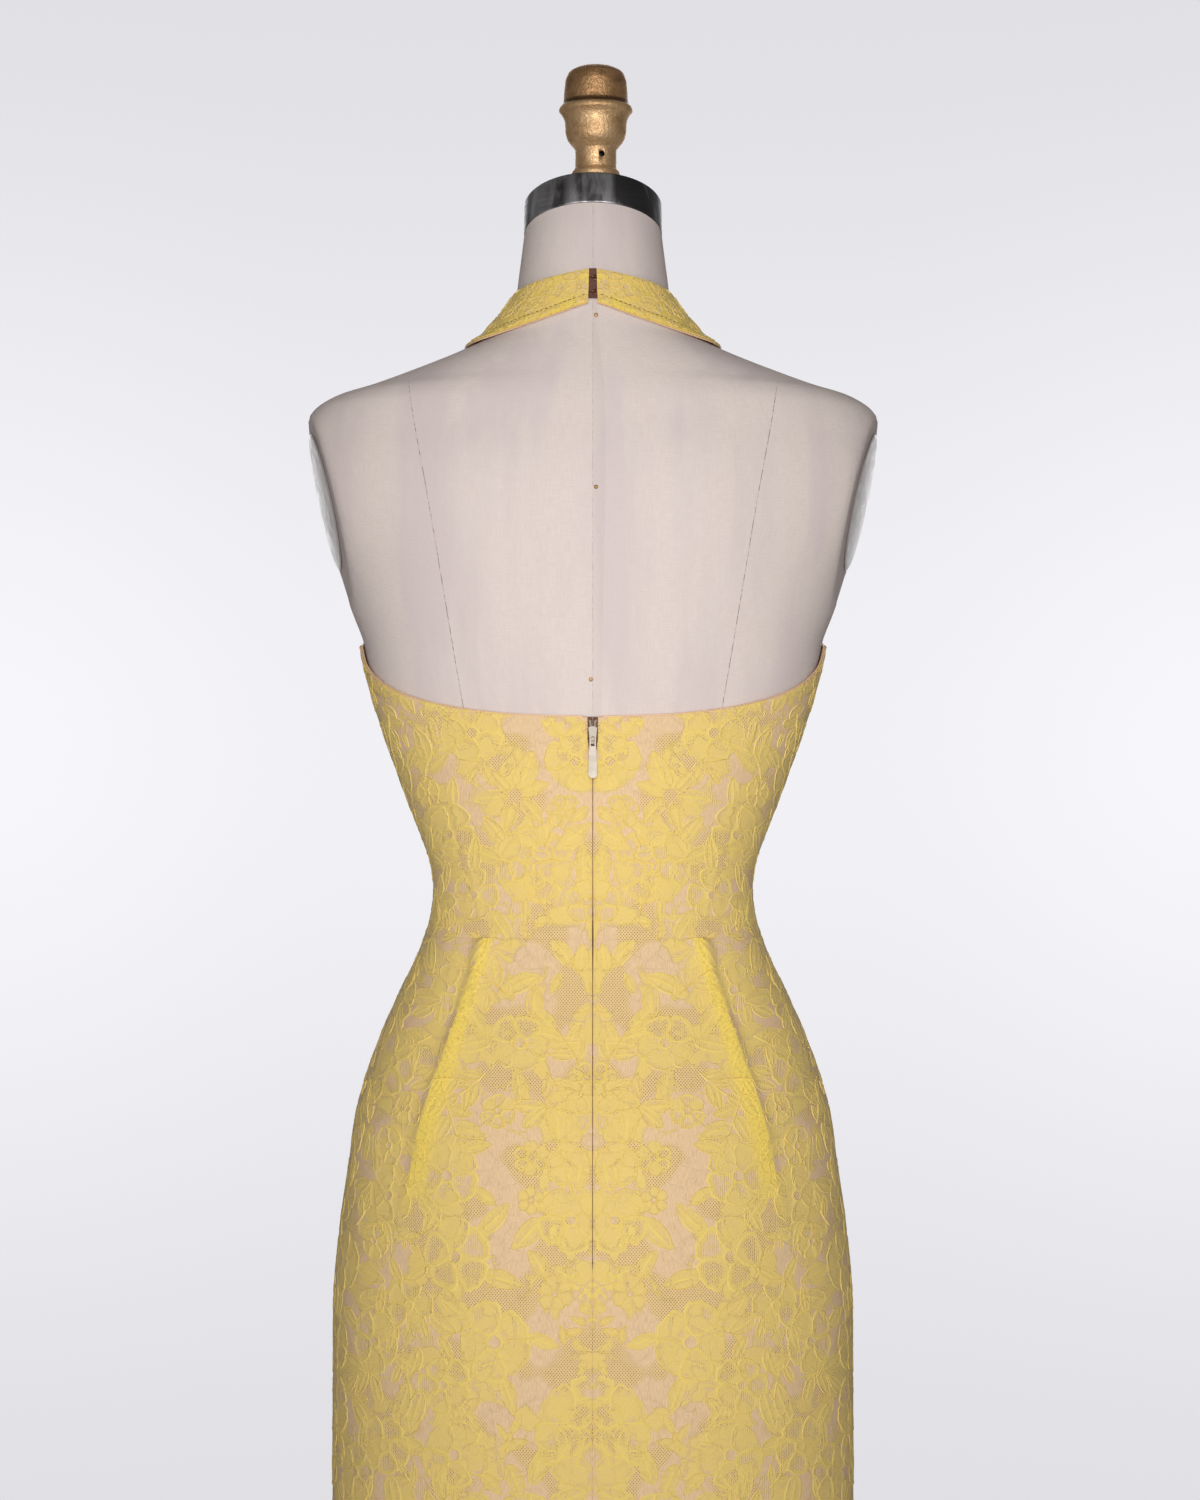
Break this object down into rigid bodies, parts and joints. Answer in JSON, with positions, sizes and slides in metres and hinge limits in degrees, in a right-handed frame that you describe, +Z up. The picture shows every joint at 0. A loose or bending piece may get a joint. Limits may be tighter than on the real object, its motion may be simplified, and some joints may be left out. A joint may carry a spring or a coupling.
{
  "type": "evening dress on a limbless dress form and stand",
  "caption": "Floor-length halter evening dress of floral lace over a lining, with a back zip, worn by a limbless dress form on a pole and round base.",
  "frame": {"origin": "middle of the base's underside, on the floor", "axes": "+Z up, the dress's front faces -Y and its back +Y, the wearer's left is +X"},
  "size_m": [0.4236, 0.38, 1.6715],
  "materials": {
    "yellow_lace": "corded floral lace, soft sheen on the cords",
    "nude_lining": "smooth woven lining, matt",
    "linen_cover": "fine plain linen, matt",
    "cap_steel": "brushed round the edge",
    "old_gold": "cast, slightly rough",
    "dark_enamel": "satin",
    "pole_steel": "satin",
    "dark_iron": "satin enamel",
    "ivory_enamel": "smooth enamel",
    "hook_bronze": "dark bronze"
  },
  "bodies": {
    "dress_on_form": {"form_arm_plate_left": "cap_steel", "form_arm_plate_right": "cap_steel", "form_base": "dark_iron", "form_base_collar": "dark_enamel", "form_finial": "old_gold", "form_flange": "dark_enamel", "form_neck_cap": "cap_steel", "form_pole": "pole_steel", "form_torso": "linen_cover", "lace_bodice_back_left": "yellow_lace", "lace_bodice_back_right": "yellow_lace", "lace_bodice_front": "yellow_lace", "lace_neck_band_left": "yellow_lace", "lace_neck_band_right": "yellow_lace", "lace_skirt_back_left": "yellow_lace", "lace_skirt_back_right": "yellow_lace", "lace_skirt_front": "yellow_lace", "lining_bodice_back_left": "nude_lining", "lining_bodice_back_right": "nude_lining", "lining_bodice_front": "nude_lining", "lining_neck_band_left": "nude_lining", "lining_neck_band_right": "nude_lining", "lining_skirt_back_left": "nude_lining", "lining_skirt_back_right": "nude_lining", "lining_skirt_front": "nude_lining", "neck_eye_lower": "hook_bronze", "neck_eye_upper": "hook_bronze", "neck_hook_lower": "hook_bronze", "neck_hook_upper": "hook_bronze", "zip_slider": "ivory_enamel", "zip_tape_left": "nude_lining", "zip_tape_right": "nude_lining"},
    "zip_pull": {"zip_pull_tab": "ivory_enamel"}
  },
  "joints": [
    {"name": "zip_pull_swing", "type": "hinge", "parent": "dress_on_form", "child": "zip_pull", "pos_m": [0, 0.092, 1.18444], "axis": [1, 0, 0], "range_deg": [-8, 150]}
  ]
}
